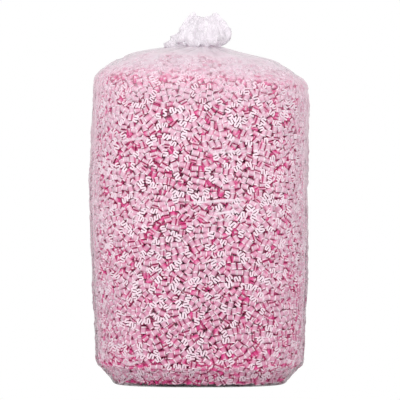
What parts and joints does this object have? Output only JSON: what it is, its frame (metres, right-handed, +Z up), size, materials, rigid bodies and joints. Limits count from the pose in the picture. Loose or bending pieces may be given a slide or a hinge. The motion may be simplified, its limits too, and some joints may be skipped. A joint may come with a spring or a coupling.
{
  "type": "packing peanut bag",
  "caption": "Tall clear film bag filled with pink S-shaped foam packing peanuts, gathered and tied at the top, standing on a flat base.",
  "frame": {"origin": "on the floor, at the middle of the bag's footprint", "axes": "+Z up the bag, from its base to the ruffle above the tie; -Y out of the front"},
  "size_m": [0.7203, 0.6462, 1.235],
  "materials": {
    "clear_film": "thin clear polythene film",
    "pink_foam": "expanded polystyrene foam with a fine cell grain",
    "tie_cover": "paper-thin plastic cover over a wire"
  },
  "bodies": {
    "root": {"film_bag": "clear_film", "peanut_heap": "pink_foam", "twist_tie": "tie_cover", "peanut_01": "pink_foam", "peanut_02": "pink_foam", "peanut_03": "pink_foam", "peanut_04": "pink_foam", "peanut_05": "pink_foam", "peanut_06": "pink_foam", "peanut_07": "pink_foam", "peanut_08": "pink_foam", "peanut_09": "pink_foam", "peanut_10": "pink_foam", "peanut_11": "pink_foam", "peanut_12": "pink_foam", "peanut_13": "pink_foam", "peanut_14": "pink_foam", "peanut_15": "pink_foam", "peanut_16": "pink_foam", "peanut_17": "pink_foam", "peanut_18": "pink_foam", "peanut_19": "pink_foam", "peanut_20": "pink_foam", "peanut_21": "pink_foam", "peanut_22": "pink_foam", "peanut_23": "pink_foam", "peanut_24": "pink_foam", "peanut_25": "pink_foam", "peanut_26": "pink_foam", "peanut_27": "pink_foam", "peanut_28": "pink_foam", "peanut_29": "pink_foam", "peanut_30": "pink_foam", "peanut_31": "pink_foam", "peanut_32": "pink_foam", "peanut_33": "pink_foam", "peanut_34": "pink_foam", "peanut_35": "pink_foam", "peanut_36": "pink_foam"}
  },
  "joints": []
}
